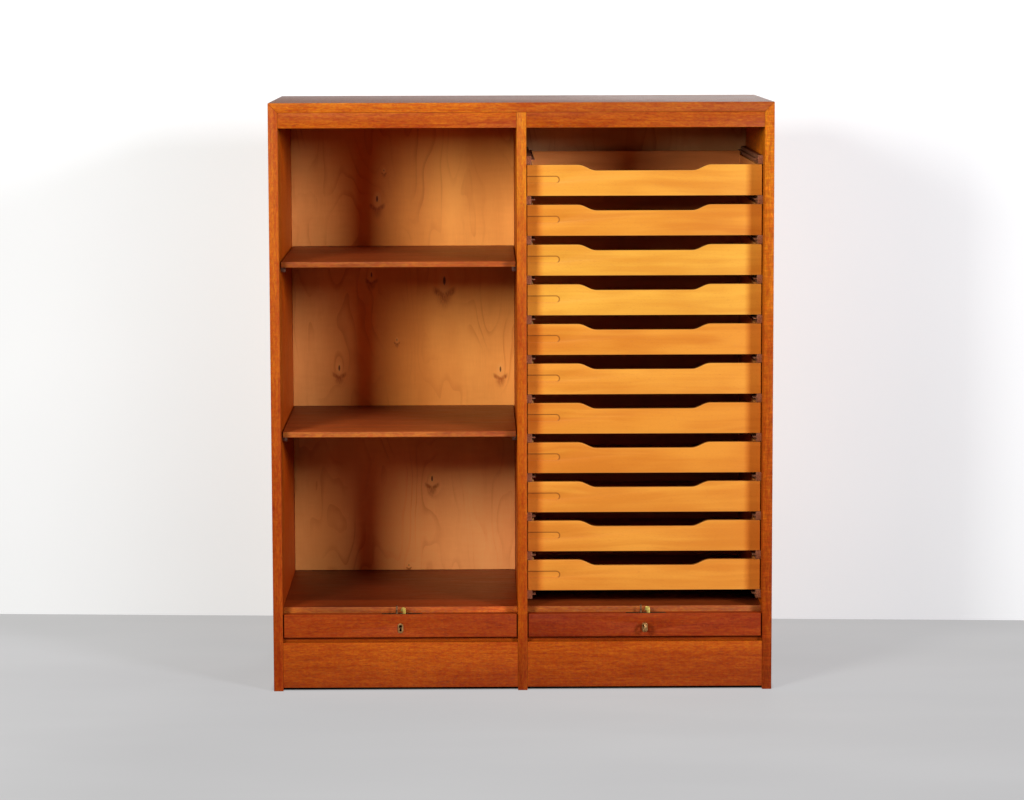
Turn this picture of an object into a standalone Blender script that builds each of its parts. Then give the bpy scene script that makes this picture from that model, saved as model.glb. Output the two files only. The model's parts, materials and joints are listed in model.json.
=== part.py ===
"""Double tambour filing cabinet: shelves in the left bay, sliding trays in the right one.

Metres, +Z up, front towards -Y. The origin is under the middle of the whole model, key included.
"""

import math

import bmesh
import bpy
from mathutils import Vector

# Case
case_width = 1.000
case_depth = 0.500
case_height = 1.178
panel_thickness = 0.019
partition_thickness = 0.019
header_height = 0.0307
header_thickness = 0.025
plinth_bottom = 0.007
plinth_height = 0.0913
plinth_thickness = 0.012
bottom_top = 0.166
bottom_thickness = 0.016
inner_front_setback = 0.029
back_thickness = 0.005
back_rebate = 0.010
back_bottom = 0.020
inner_back_thickness = 0.007

# Clearances
touch_gap = 0.0003
cut_overrun = 0.002
edge_round = 0.0006

# Tambour curtains and their grooves
slat_pitch = 0.018
slat_thickness = 0.0065
slat_vee = 0.0035
curtain_tail = 0.035
curtain_gap = 0.0025
rear_curtain_gap = 0.0035
bend_radius = 0.060
groove_clearance = 0.00125
groove_depth = 0.006
groove_end_clearance = 0.001
groove_headroom = 0.002
rear_groove_spare = 0.148
bend_steps = 8

# Lock rails
rail_height = 0.0465
rail_thickness = 0.022
rail_setback = 0.003
rail_rest_gap = 0.0102
rail_end_gap = 0.0025
rail_closing_gap = 0.001
tongue_clearance = 0.0005
bend_lead = 0.003

# Locks, strike plates and key
lock_length = 0.066
lock_offset = 0.003
lock_plate_length = 0.082
lock_plate_width = 0.016
lock_plate_thickness = 0.002
lock_plate_points = 32
lock_height = 0.036
lock_thickness = 0.008
lock_setback = 0.007
lock_slot_floor = 0.003
guide_plate_offset = -0.0075
guide_plate_width = 0.0035
guide_plate_thickness = 0.0025
guide_plate_rise = 0.016
hook_offset = 0.0057
hook_thickness = 0.0045
hook_pivot_drop = 0.014
hook_pivot_radius = 0.0045
hook_neck_width = 0.0065
hook_head_width = 0.0100
hook_rise = 0.0130
hook_nose_clearance = 0.0044
hook_side_clearance = 0.0005
hook_swing_room = 0.0035
hook_steps = 8
key_drop = 0.0247
key_shaft_radius = 0.0019
key_shaft_clearance = 0.0005
key_inner_reach = 0.0125
key_neck = 0.006
key_bow_length = 0.019
key_bow_height = 0.021
key_bow_thickness = 0.0036
key_bow_rim = 0.0045
key_bow_points = 24
shaft_points = 16
escutcheon_width = 0.0115
escutcheon_height = 0.020
escutcheon_thickness = 0.0045
escutcheon_proud = 0.0006
escutcheon_points = 32
keyhole_eye_radius = 0.0033
keyhole_foot_radius = 0.0026
keyhole_foot_drop = 0.0074
keyhole_waist_radius = 0.0019
keyhole_steps = 12
strike_length = 0.048
strike_width = 0.016
strike_thickness = 0.001
strike_slot_room = 0.001
strike_bridge_room = 0.0004
strike_guide_gap = 0.0010
mortise_headroom = 0.003

# Shelves and their pins
shelf_thickness = 0.011
shelf_top_shares = (0.7010, 0.3578)
shelf_side_gap = 0.0025
pin_front_inset = 0.036
pin_back_inset = 0.050
pin_radius = 0.0045
pin_reach = 0.0095
pin_shank_radius = 0.0025
pin_shank_length = 0.0085
pin_hole_clearance = 0.0003
pin_tab_thickness = 0.003
pin_points = 16

# Trays and their runners
tray_height = 0.0615
tray_gap = 0.0180
tray_floor_space = 0.0303
tray_setback = 0.040
tray_side_gap = 0.002
tray_back_gap = 0.002
tray_front_thickness = 0.012
tray_wall = 0.012
tray_floor = 0.004
tray_back_rise = 0.009
tray_dip_depth = 0.0115
tray_dip_half_width = 0.1327
tray_dip_flat_half_width = 0.0955
tray_dip_steps = 8
label_length = 0.064
label_height = 0.0135
label_depth = 0.0016
label_drop = 0.0225
label_end_steps = 8
runner_width = 0.0105
runner_post_depth = 0.0077
runner_kick_clearance = 0.001
runner_fin_thickness = 0.0018
runner_fin_reach = 0.007
runner_fin_drop = 0.0068

# Places that follow from the sizes above
key_reach = key_neck + key_bow_length - rail_setback
front_y = (key_reach - case_depth) / 2
inner_half = case_width / 2 - panel_thickness
partition_half = partition_thickness / 2
bays = (("left", -inner_half, -partition_half), ("right", partition_half, inner_half))
ceiling = case_height - panel_thickness
header_bottom = ceiling - header_height
plinth_top = plinth_bottom + plinth_height
rail_bottom = plinth_top + rail_rest_gap
rail_top = rail_bottom + rail_height
rail_travel = header_bottom - rail_closing_gap - rail_top
groove_width = slat_thickness + 2 * groove_clearance
front_run = plinth_thickness + curtain_gap + slat_thickness / 2
rear_run = case_depth - back_thickness - rear_curtain_gap - slat_thickness / 2
inner_back_rear = rear_run - slat_thickness / 2 - rear_curtain_gap
inner_back_front = inner_back_rear - inner_back_thickness
bend_top = rail_bottom - bend_lead
quarter = math.pi / 2 * bend_radius
level_run = rear_run - front_run - 2 * bend_radius
slat_count = math.ceil((rail_travel + curtain_tail) / slat_pitch)
curtain_start = bend_top - rail_bottom + touch_gap
curtain_end = curtain_start + slat_pitch * slat_count
lock_middle = rail_setback + lock_setback + lock_thickness / 2
hook_pivot_z = rail_top - hook_pivot_drop
key_z = rail_top - key_drop
shelf_tops = [bottom_top + share * (ceiling - bottom_top) for share in shelf_top_shares]
shelf_back = inner_back_front - touch_gap
tray_pitch = tray_height + tray_gap
lowest_tray_bottom = bottom_top + tray_floor_space
highest_tray_bottom = header_bottom - tray_height - tray_back_rise
tray_count = math.floor((highest_tray_bottom - lowest_tray_bottom) / tray_pitch) + 1
runner_rear = inner_back_front - touch_gap
tray_rear = runner_rear - runner_post_depth - tray_back_gap


def depth(distance):
    """Y of a plane at this distance behind the case's front."""
    return front_y + distance


def finish(name, colour, roughness, metallic=0.0):
    """A plain surface of one colour."""
    made = bpy.data.materials.new(name)
    made.use_nodes = True
    shader = made.node_tree.nodes["Principled BSDF"]
    shader.inputs["Base Color"].default_value = (*colour, 1.0)
    shader.inputs["Roughness"].default_value = roughness
    shader.inputs["Metallic"].default_value = metallic
    return made


def add_object(name, mesh, surface, place):
    """A new object whose mesh is measured from its own place."""
    if not mesh.materials:
        mesh.materials.append(surface)
    made = bpy.data.objects.new(name, mesh)
    made.location = place
    bpy.context.collection.objects.link(made)
    return made


def prism(name, outline, axis, low, high, surface, place=None, rounding=0.0):
    """A closed outline, in the two other axes' order, drawn out along one axis from low to high."""
    order = {"X": (2, 0, 1), "Y": (0, 2, 1), "Z": (0, 1, 2)}[axis]
    shape = bmesh.new()
    base = []
    for first, second in outline:
        values = (first, second, low)
        base.append(shape.verts.new([values[index] for index in order]))
    face = shape.faces.new(base)
    grown = bmesh.ops.extrude_face_region(shape, geom=[face])
    step = Vector([(0, 0, high - low)[index] for index in order])
    moved = [item for item in grown["geom"] if isinstance(item, bmesh.types.BMVert)]
    bmesh.ops.translate(shape, verts=moved, vec=step)
    bmesh.ops.recalc_face_normals(shape, faces=shape.faces)
    if rounding > 0:
        sharp = [edge for edge in shape.edges if edge.calc_face_angle() > math.radians(40)]
        bmesh.ops.bevel(shape, geom=sharp, offset=rounding, segments=1, affect="EDGES", clamp_overlap=True)
    if place is None:
        points = [vert.co for vert in shape.verts]
        lows = Vector([min(point[index] for point in points) for index in range(3)])
        highs = Vector([max(point[index] for point in points) for index in range(3)])
        place = (lows + highs) / 2
    place = Vector(place)
    bmesh.ops.translate(shape, verts=shape.verts, vec=-place)
    mesh = bpy.data.meshes.new(name)
    shape.to_mesh(mesh)
    shape.free()
    return add_object(name, mesh, surface, place)


def rectangle(left, right, bottom, top):
    """The four corners of a rectangle."""
    return [(left, bottom), (right, bottom), (right, top), (left, top)]


def block(name, x_span, depth_span, z_span, surface, place=None, rounding=0.0):
    """A cuboid whose Y span is given as distances behind the case's front."""
    outline = rectangle(*x_span, *z_span)
    near, far = (depth(distance) for distance in depth_span)
    return prism(name, outline, "Y", near, far, surface, place, rounding)


def circle(middle, radius, points):
    """Points of a circle, anticlockwise."""
    angles = [2 * math.pi * index / points for index in range(points)]
    return [(middle[0] + radius * math.cos(angle), middle[1] + radius * math.sin(angle)) for angle in angles]


def combine(target, tools, operation):
    """Cut the tools out of the target, or join them to it, and keep only the result."""
    for tool in tools:
        change = target.modifiers.new(operation.title(), "BOOLEAN")
        change.operation = operation
        change.solver = "EXACT"
        change.object = tool
    graph = bpy.context.evaluated_depsgraph_get()
    mesh = bpy.data.meshes.new_from_object(target.evaluated_get(graph))
    target.modifiers.clear()
    target.data = mesh
    for tool in tools:
        bpy.data.objects.remove(tool)
    return target


def carve(target, *tools):
    """Cut the tools out of the target."""
    return combine(target, tools, "DIFFERENCE")


def join(target, *tools):
    """Join the tools to the target in one body."""
    return combine(target, tools, "UNION")


def smooth(target):
    """Smooth shading over the round parts, with the sharp edges kept."""
    target.data.shade_smooth()
    target.data.set_sharp_from_angle(angle=math.radians(35))
    return target


def curtain_point(run):
    """Place and outward direction, in depth and height, after this length past the lower front bend."""
    if run <= 0:
        return Vector((front_run, bend_top - run)), Vector((-1, 0))
    if run <= quarter:
        turn = run / bend_radius
        outward = Vector((-math.cos(turn), -math.sin(turn)))
        return Vector((front_run + bend_radius, bend_top)) + bend_radius * outward, outward
    if run <= quarter + level_run:
        return Vector((front_run + bend_radius + run - quarter, bend_top - bend_radius)), Vector((0, -1))
    if run <= 2 * quarter + level_run:
        turn = (run - quarter - level_run) / bend_radius
        outward = Vector((math.sin(turn), -math.cos(turn)))
        return Vector((rear_run - bend_radius, bend_top)) + bend_radius * outward, outward
    return Vector((rear_run, bend_top + run - 2 * quarter - level_run)), Vector((1, 0))


def groove_tool(name, x_low, x_high, surface):
    """The space of one curved groove that guides a curtain's edge."""
    runs = [bend_top - header_bottom - groove_headroom]
    runs += [quarter * step / bend_steps for step in range(bend_steps + 1)]
    runs += [quarter + level_run + quarter * step / bend_steps for step in range(bend_steps + 1)]
    runs += [curtain_end + rear_groove_spare]
    outer = []
    inner = []
    for run in runs:
        middle, outward = curtain_point(run)
        outer.append(middle + outward * groove_width / 2)
        inner.append(middle - outward * groove_width / 2)
    outline = [(depth(point[0]), point[1]) for point in outer + inner[::-1]]
    return prism(name, outline, "X", x_low, x_high, surface)


def pin_places():
    """Distance behind the front and top height of each shelf pin on one wall."""
    distances = (inner_front_setback + pin_front_inset, shelf_back - pin_back_inset)
    return [(distance, top - shelf_thickness - touch_gap) for top in shelf_tops for distance in distances]


def pin_hole_tools(wall, outward, surface):
    """Round holes for the shelf pins in one wall; outward is -1 or 1, into the wall."""
    tools = []
    for distance, top in pin_places():
        middle = (depth(distance), top - pin_tab_thickness - pin_radius)
        outline = circle(middle, pin_shank_radius + pin_hole_clearance, pin_points)
        ends = sorted((wall - outward * cut_overrun, wall + outward * (pin_shank_length + touch_gap)))
        tools.append(prism("pin_hole", outline, "X", *ends, surface))
    return tools


def make_sides(surface):
    """Two side panels, mitred to the top, grooved for the curtains and rebated for the back."""
    mitre_drop = touch_gap * math.sqrt(2)
    sides = []
    for name, sign in (("left_side", -1), ("right_side", 1)):
        outer = sign * case_width / 2
        inner = sign * inner_half
        outline = [(outer, 0), (inner, 0), (inner, ceiling - mitre_drop), (outer, case_height - mitre_drop)]
        side = prism(name, outline, "Y", depth(0), depth(case_depth), surface)
        groove_ends = sorted((inner - sign * cut_overrun, inner + sign * groove_depth))
        rebate_ends = sorted((inner - sign * cut_overrun, inner + sign * (back_rebate + touch_gap)))
        rebate_depth = (case_depth - back_thickness - touch_gap, case_depth + cut_overrun)
        tools = [groove_tool("groove", *groove_ends, surface)]
        tools.append(block("rebate", rebate_ends, rebate_depth, (-cut_overrun, case_height), surface))
        if sign < 0:
            tools += pin_hole_tools(inner, sign, surface)
        sides.append(carve(side, *tools))
    return sides


def make_top(surface):
    """The top panel, mitred at both ends."""
    half = case_width / 2
    outline = [(-inner_half, ceiling), (inner_half, ceiling), (half, case_height), (-half, case_height)]
    top = prism("top_panel", outline, "Y", depth(0), depth(case_depth), surface)
    rebate_depth = (case_depth - back_thickness - touch_gap, case_depth + cut_overrun)
    rebate_half = inner_half + back_rebate + touch_gap
    rebate_height = (ceiling - cut_overrun, ceiling + back_rebate + touch_gap)
    return carve(top, block("rebate", (-rebate_half, rebate_half), rebate_depth, rebate_height, surface))


def make_partition(surface):
    """The centre partition, grooved on both faces."""
    rear = case_depth - back_thickness - 2 * touch_gap
    x_span = (-partition_half, partition_half)
    body = block("centre_partition", x_span, (0, rear), (0, ceiling - touch_gap), surface)
    tools = []
    for sign in (-1, 1):
        face = sign * partition_half
        ends = sorted((face + sign * cut_overrun, face - sign * groove_depth))
        tools.append(groove_tool("groove", *ends, surface))
    tools += pin_hole_tools(-partition_half, 1, surface)
    return carve(body, *tools)


def make_header(side, left, right, surface):
    """The rail above one bay, let out for the strike plate and for the hook behind it."""
    middle = (left + right) / 2
    x_span = (left + touch_gap, right - touch_gap)
    z_span = (header_bottom, ceiling - touch_gap)
    header = block(f"{side}_header", x_span, (0, header_thickness), z_span, surface)
    plate_x = (middle - strike_length / 2 - touch_gap, middle + strike_length / 2 + touch_gap)
    plate_y = (lock_middle - strike_width / 2 - touch_gap, lock_middle + strike_width / 2 + touch_gap)
    seat_z = (header_bottom - cut_overrun, header_bottom + strike_thickness + touch_gap)
    low, high = strike_slots(middle)
    room_x = (low[0] - strike_slot_room, high[1] + strike_slot_room)
    room_y = (lock_middle - lock_thickness / 2, lock_middle + lock_thickness / 2)
    room_z = (header_bottom - cut_overrun, header_bottom + guide_plate_rise + mortise_headroom)
    seat = block("strike_seat", plate_x, plate_y, seat_z, surface)
    return carve(header, seat, block("hook_room", room_x, room_y, room_z, surface))


def strike_slots(middle):
    """X spans of the strike plate's two slots, for the guide plate and for the hook."""
    guide_half = guide_plate_width / 2 + strike_guide_gap
    guide = (middle + guide_plate_offset - guide_half, middle + guide_plate_offset + guide_half)
    hook_left = middle + hook_offset - hook_head_width / 2 - strike_bridge_room
    hook_right = middle + hook_offset + hook_head_width / 2 + strike_slot_room
    return guide, (hook_left, hook_right)


def make_strike(side, left, right, surface):
    """The plate that the hook swings over when the rail is up."""
    middle = (left + right) / 2
    x_span = (middle - strike_length / 2, middle + strike_length / 2)
    y_span = (lock_middle - strike_width / 2, lock_middle + strike_width / 2)
    z_span = (header_bottom, header_bottom + strike_thickness)
    plate = block(f"{side}_strike", x_span, y_span, z_span, surface)
    slot_half = hook_thickness / 2 + strike_slot_room
    slot_y = (lock_middle - slot_half, lock_middle + slot_half)
    slot_z = (header_bottom - cut_overrun, header_bottom + strike_thickness + cut_overrun)
    return carve(plate, *[block("slot", span, slot_y, slot_z, surface) for span in strike_slots(middle)])


def make_bay_panels(side, left, right, wood, plywood):
    """Plinth, bottom and inner back of one bay."""
    x_span = (left + touch_gap, right - touch_gap)
    plinth_z = (plinth_bottom, plinth_top)
    block(f"{side}_plinth", x_span, (0, plinth_thickness), plinth_z, wood, rounding=edge_round)
    bottom_depth = (inner_front_setback, inner_back_rear)
    block(f"{side}_bottom", x_span, bottom_depth, (bottom_top - bottom_thickness, bottom_top), wood)
    back_depth = (inner_back_front, inner_back_rear)
    block(f"{side}_inner_back", x_span, back_depth, (bottom_top + touch_gap, ceiling - touch_gap), plywood)


def make_outer_back(surface):
    """The thin back panel, held in the rebates of the sides and the top."""
    half = inner_half + back_rebate
    y_span = (case_depth - back_thickness, case_depth)
    return block("outer_back", (-half, half), y_span, (back_bottom, ceiling + back_rebate), surface)


def make_rail(side, left, right, surface):
    """One lock rail: a bar with a tongue in each groove, a mortise for the lock and an oval keyhole."""
    middle = (left + right) / 2
    low = left + rail_end_gap
    high = right - rail_end_gap
    tip_low = left - groove_depth + groove_end_clearance
    tip_high = right + groove_depth - groove_end_clearance
    near = depth(rail_setback)
    far = depth(rail_setback + rail_thickness)
    tongue_near = depth(front_run - groove_width / 2 + tongue_clearance)
    tongue_far = depth(front_run + groove_width / 2 - tongue_clearance)
    outline = [(low, near), (high, near), (high, tongue_near), (tip_high, tongue_near)]
    outline += [(tip_high, tongue_far), (high, tongue_far), (high, far), (low, far)]
    outline += [(low, tongue_far), (tip_low, tongue_far), (tip_low, tongue_near), (low, tongue_near)]
    place = (middle, near, rail_bottom)
    rail = prism(f"{side}_rail", outline, "Z", rail_bottom, rail_top, surface, place, rounding=edge_round)
    lock_x = middle + lock_offset
    mortise_x = (lock_x - lock_length / 2 - touch_gap, lock_x + lock_length / 2 + touch_gap)
    mortise_near = lock_middle - lock_thickness / 2 - touch_gap
    mortise_y = (mortise_near, lock_middle + lock_thickness / 2 + touch_gap)
    mortise_z = (rail_top - lock_height - touch_gap, rail_top + cut_overrun)
    mortise = block("mortise", mortise_x, mortise_y, mortise_z, surface)
    seat = prism("plate_seat", lock_plate_outline(lock_x, touch_gap), "Z",
                 rail_top - lock_plate_thickness - touch_gap, rail_top + cut_overrun, surface)
    oval = stadium((middle, key_z - keyhole_foot_drop / 2), escutcheon_width + 2 * touch_gap,
                   escutcheon_height + 2 * touch_gap, escutcheon_points)
    hole = prism("keyhole", oval, "Y", depth(rail_setback - cut_overrun), depth(lock_middle), surface)
    return carve(rail, mortise, seat, hole)


def stadium(middle, width, height, points):
    """An upright oval with straight flanks and round ends."""
    radius = width / 2
    straight = height / 2 - radius
    outline = []
    for x, z in circle((0, 0), radius, points):
        outline.append((middle[0] + x, middle[1] + z + math.copysign(straight, z + radius / points)))
    return outline


def lock_plate_outline(x_middle, room):
    """The round-ended face plate of a lock, seen from above, with room added all round."""
    across = stadium((depth(lock_middle), x_middle), lock_plate_width + 2 * room,
                     lock_plate_length + 2 * room, lock_plate_points)
    return [(x, y) for y, x in across]


def arc(middle, radius, start, end, steps):
    """Points along an arc between two angles, both ends included."""
    angles = [start + (end - start) * step / steps for step in range(steps + 1)]
    return [(middle[0] + radius * math.cos(angle), middle[1] + radius * math.sin(angle)) for angle in angles]


def keyhole(eye_middle):
    """A round eye and a smaller round foot below it, joined by a narrow waist."""
    foot_middle = (eye_middle[0], eye_middle[1] - keyhole_foot_drop)
    eye_turn = math.acos(keyhole_waist_radius / keyhole_eye_radius)
    foot_turn = math.acos(keyhole_waist_radius / keyhole_foot_radius)
    eye = arc(eye_middle, keyhole_eye_radius, -eye_turn, math.pi + eye_turn, keyhole_steps)
    foot_end = 2 * math.pi + foot_turn
    foot = arc(foot_middle, keyhole_foot_radius, math.pi - foot_turn, foot_end, keyhole_steps)
    return eye + foot


def make_escutcheon(side, left, right, surface):
    """The oval lining of one keyhole."""
    middle = (left + right) / 2
    oval_middle = (middle, key_z - keyhole_foot_drop / 2)
    outer = stadium(oval_middle, escutcheon_width, escutcheon_height, escutcheon_points)
    near = depth(rail_setback - escutcheon_proud)
    far = depth(rail_setback - escutcheon_proud + escutcheon_thickness)
    place = (middle, near, key_z)
    plate = prism(f"{side}_escutcheon", outer, "Y", near, far, surface, place)
    hole = prism("hole", keyhole((middle, key_z)), "Y", near - cut_overrun, far + cut_overrun, surface)
    return carve(plate, hole)


def make_lock(side, left, right, surface):
    """The lock case in the rail, with its face plate, its guide plate and the space that the hook swings in."""
    middle = (left + right) / 2
    near = lock_middle - lock_thickness / 2
    far = lock_middle + lock_thickness / 2
    lock_x = middle + lock_offset
    x_span = (lock_x - lock_length / 2, lock_x + lock_length / 2)
    z_span = (rail_top - lock_height, rail_top - lock_plate_thickness / 2)
    place = (middle, depth(lock_middle), rail_top)
    case = block(f"{side}_lock", x_span, (near, far), z_span, surface, place)
    face_plate = prism("face_plate", lock_plate_outline(lock_x, 0), "Z",
                       rail_top - lock_plate_thickness, rail_top, surface)
    guide_x = middle + guide_plate_offset
    plate_x = (guide_x - guide_plate_width / 2, guide_x + guide_plate_width / 2)
    plate_y = (lock_middle - guide_plate_thickness / 2, lock_middle + guide_plate_thickness / 2)
    plate_z = (rail_top - lock_height / 2, rail_top + guide_plate_rise)
    join(case, face_plate, block("guide_plate", plate_x, plate_y, plate_z, surface))
    pivot = middle + hook_offset
    room = max(hook_pivot_radius, hook_head_width / 2) + hook_swing_room
    slot_x = (pivot - room, pivot + room)
    slot_half = hook_thickness / 2 + hook_side_clearance
    slot_y = (lock_middle - slot_half, lock_middle + slot_half)
    slot_z = (rail_top - lock_height + lock_slot_floor, rail_top + cut_overrun)
    slot = block("slot", slot_x, slot_y, slot_z, surface)
    bore = circle((middle, key_z), key_shaft_radius + key_shaft_clearance, shaft_points)
    hole = prism("bore", bore, "Y", depth(near - cut_overrun), depth(lock_middle), surface)
    pocket_half = key_shaft_radius + key_shaft_clearance
    pocket = block("key_pocket", (middle - pocket_half, pivot), slot_y,
                   (key_z - pocket_half, key_z + pocket_half), surface)
    return carve(case, slot, hole, pocket)


def make_hook(side, left, right, surface):
    """The hook bolt: a round foot on its pivot, a neck, and a rounded head with a nose."""
    pivot_x = (left + right) / 2 + hook_offset
    head_left = pivot_x - hook_head_width / 2
    head_right = pivot_x + hook_head_width / 2
    neck_left = head_right - hook_neck_width
    nose_z = rail_top + hook_nose_clearance
    crown_z = rail_top + hook_rise - hook_head_width / 2
    shoulder_z = hook_pivot_z + hook_pivot_radius
    outline = arc((pivot_x, hook_pivot_z), hook_pivot_radius, math.pi, 2 * math.pi, hook_steps)
    outline += [(head_right, shoulder_z)]
    outline += arc((pivot_x, crown_z), hook_head_width / 2, 0, math.pi, hook_steps)
    outline += [(head_left, nose_z), (neck_left, nose_z), (neck_left, shoulder_z)]
    near = depth(lock_middle - hook_thickness / 2)
    far = depth(lock_middle + hook_thickness / 2)
    place = (pivot_x, depth(lock_middle), hook_pivot_z)
    return smooth(prism(f"{side}_hook", outline, "Y", near, far, surface, place))


def make_key(left, right, surface):
    """The key in the right lock: a round shaft and a flat oval bow that stands upright."""
    middle = (left + right) / 2
    shaft_end = rail_setback - key_neck
    bow_end = shaft_end - key_bow_length
    place = (middle, depth(rail_setback), key_z)
    shaft = prism("right_key", circle((middle, key_z), key_shaft_radius, shaft_points), "Y",
                  depth(shaft_end - key_bow_rim / 2), depth(key_inner_reach), surface, place)
    bow_middle = (depth(bow_end + key_bow_length / 2), key_z)
    x_span = (middle - key_bow_thickness / 2, middle + key_bow_thickness / 2)
    outer = ellipse(bow_middle, key_bow_length / 2, key_bow_height / 2, key_bow_points)
    bow = prism("bow", outer, "X", *x_span, surface)
    inner_half_length = key_bow_length / 2 - key_bow_rim
    inner_half_height = key_bow_height / 2 - key_bow_rim
    inner = ellipse(bow_middle, inner_half_length, inner_half_height, key_bow_points)
    hole = prism("bow_hole", inner, "X", x_span[0] - cut_overrun, x_span[1] + cut_overrun, surface)
    join(shaft, carve(bow, hole))
    return smooth(shaft)


def ellipse(middle, half_width, half_height, points):
    """Points of an ellipse, anticlockwise."""
    return [(middle[0] + half_width * x, middle[1] + half_height * y) for x, y in circle((0, 0), 1, points)]


def make_curtain(side, left, right, surface):
    """The slatted curtain in its grooves: down the front, under the bottom and up behind the inner back."""
    joints = [curtain_point(curtain_start + slat_pitch * index) for index in range(slat_count + 1)]
    half = slat_thickness / 2
    outer = []
    for (near, near_out), (far, far_out) in zip(joints, joints[1:]):
        along = (far - near).normalized()
        outward = (near_out + far_out).normalized()
        outer.append(near + near_out * (half - slat_vee))
        outer.append(near + along * slat_vee / 2 + outward * half)
        outer.append(far - along * slat_vee / 2 + outward * half)
    last, last_out = joints[-1]
    outer.append(last + last_out * (half - slat_vee))
    inner = [middle - outward * half for middle, outward in joints]
    outline = [(depth(point[0]), point[1]) for point in outer + inner[::-1]]
    x_low = left - groove_depth + groove_end_clearance
    x_high = right + groove_depth - groove_end_clearance
    return prism(f"{side}_curtain", outline, "X", x_low, x_high, surface)


def make_shelves(left, right, surface):
    """The two loose shelves of the left bay."""
    x_span = (left + shelf_side_gap, right - shelf_side_gap)
    y_span = (inner_front_setback, shelf_back)
    for name, top in zip(("upper_shelf", "lower_shelf"), shelf_tops):
        block(name, x_span, y_span, (top - shelf_thickness, top), surface, rounding=edge_round)


def make_pins(left, right, surface):
    """Four pins under each shelf: a shank in the wall, a round boss and a flat tab."""
    boss_z = -pin_tab_thickness - pin_radius
    start = touch_gap
    shank = prism("pin", circle((0, boss_z), pin_shank_radius, pin_points), "X",
                  -pin_shank_length, start + pin_radius, surface, (0, 0, 0))
    boss = prism("boss", circle((0, boss_z), pin_radius, pin_points), "X", start, pin_reach, surface)
    tab = prism("tab", rectangle(-pin_radius, pin_radius, boss_z, 0), "X", start, pin_reach, surface)
    pattern = smooth(join(shank, boss, tab)).data
    bpy.data.objects.remove(shank)
    names = [f"{shelf}_{row}" for shelf in ("upper", "lower") for row in ("front", "rear")]
    for wall, turn, side in ((left, 0, "left"), (right, math.pi, "right")):
        for name, (distance, top) in zip(names, pin_places()):
            pin = add_object(f"{name}_{side}_pin", pattern, surface, (wall, depth(distance), top))
            pin.rotation_euler = (0, 0, turn)


def make_runners(left, right, surface):
    """The runner frames: a strip under each tray and above the top one, on a post behind the trays."""
    strip_height = tray_gap - touch_gap - runner_kick_clearance
    tops = [lowest_tray_bottom + tray_pitch * index - touch_gap for index in range(tray_count + 1)]
    strip_ends = (depth(tray_setback), depth(runner_rear - runner_post_depth / 2))
    for name, wall, inward in (("left_runners", left, 1), ("right_runners", right, -1)):
        back = wall + inward * touch_gap
        face = wall + inward * runner_width
        tip = face + inward * runner_fin_reach
        strips = []
        for top in tops:
            low = top - strip_height
            fin_top = top + touch_gap - runner_fin_drop
            fin_low = fin_top - runner_fin_thickness
            outline = [(back, low), (face, low), (face, fin_low), (tip, fin_low)]
            outline += [(tip, fin_top), (face, fin_top), (face, top), (back, top)]
            strips.append(prism("strip", outline, "Y", *strip_ends, surface))
        post_depth = (runner_rear - runner_post_depth, runner_rear)
        post = block(name, sorted((back, face)), post_depth, (tops[0] - strip_height, tops[-1]), surface)
        join(post, *strips)


def tray_front_outline(half):
    """The front board's outline about its middle, with the dip in its upper edge."""
    outline = [(-half, 0), (half, 0), (half, tray_height)]
    slope = tray_dip_half_width - tray_dip_flat_half_width
    curve = []
    for step in range(tray_dip_steps + 1):
        share = step / tray_dip_steps
        fall = (1 - math.cos(math.pi * share)) / 2
        curve.append((tray_dip_half_width - slope * share, tray_height - tray_dip_depth * fall))
    outline += curve
    outline += [(-x, z) for x, z in curve[::-1]]
    outline += [(-half, tray_height)]
    return outline


def label_outline(half):
    """The shallow label recess: open at the board's left end, round at the other."""
    top = tray_height - label_drop
    bottom = top - label_height
    radius = label_height / 2
    middle = -half + label_length - radius
    outline = [(-half - cut_overrun, bottom)]
    outline += arc((middle, bottom + radius), radius, -math.pi / 2, math.pi / 2, label_end_steps)
    return outline + [(-half - cut_overrun, top)]


def tray_front_mesh(half, surface):
    """The mesh that all front boards share, measured from the board's lower middle front."""
    outline = tray_front_outline(half)
    front = prism("front", outline, "Y", 0, tray_front_thickness, surface, (0, 0, 0), edge_round)
    recess = prism("recess", label_outline(half), "Y", -cut_overrun, label_depth, surface)
    mesh = carve(front, recess).data
    bpy.data.objects.remove(front)
    return mesh


def tray_box_mesh(half, length, surface):
    """The mesh that all tray boxes share: sides, floor and a taller back, open at the front."""
    start = tray_front_thickness + touch_gap
    outline = [(start, 0), (length, 0), (length, tray_height + tray_back_rise)]
    outline += [(length - tray_wall, tray_height + tray_back_rise), (length - tray_wall, tray_height)]
    outline += [(start, tray_height)]
    box = prism("box", outline, "X", -half, half, surface, (0, 0, 0))
    inside = rectangle(start - cut_overrun, length - tray_wall, tray_floor, tray_height + cut_overrun)
    hollow = prism("hollow", inside, "X", tray_wall - half, half - tray_wall, surface)
    shoulder_outline = rectangle(length - tray_wall - cut_overrun, length + cut_overrun,
                                 tray_height, tray_height + tray_back_rise + cut_overrun)
    shoulders = []
    for sign in (-1, 1):
        ends = sorted((sign * (half - tray_wall), sign * (half + cut_overrun)))
        shoulders.append(prism("shoulder", shoulder_outline, "X", *ends, surface))
    mesh = carve(box, hollow, *shoulders).data
    bpy.data.objects.remove(box)
    return mesh


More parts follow.
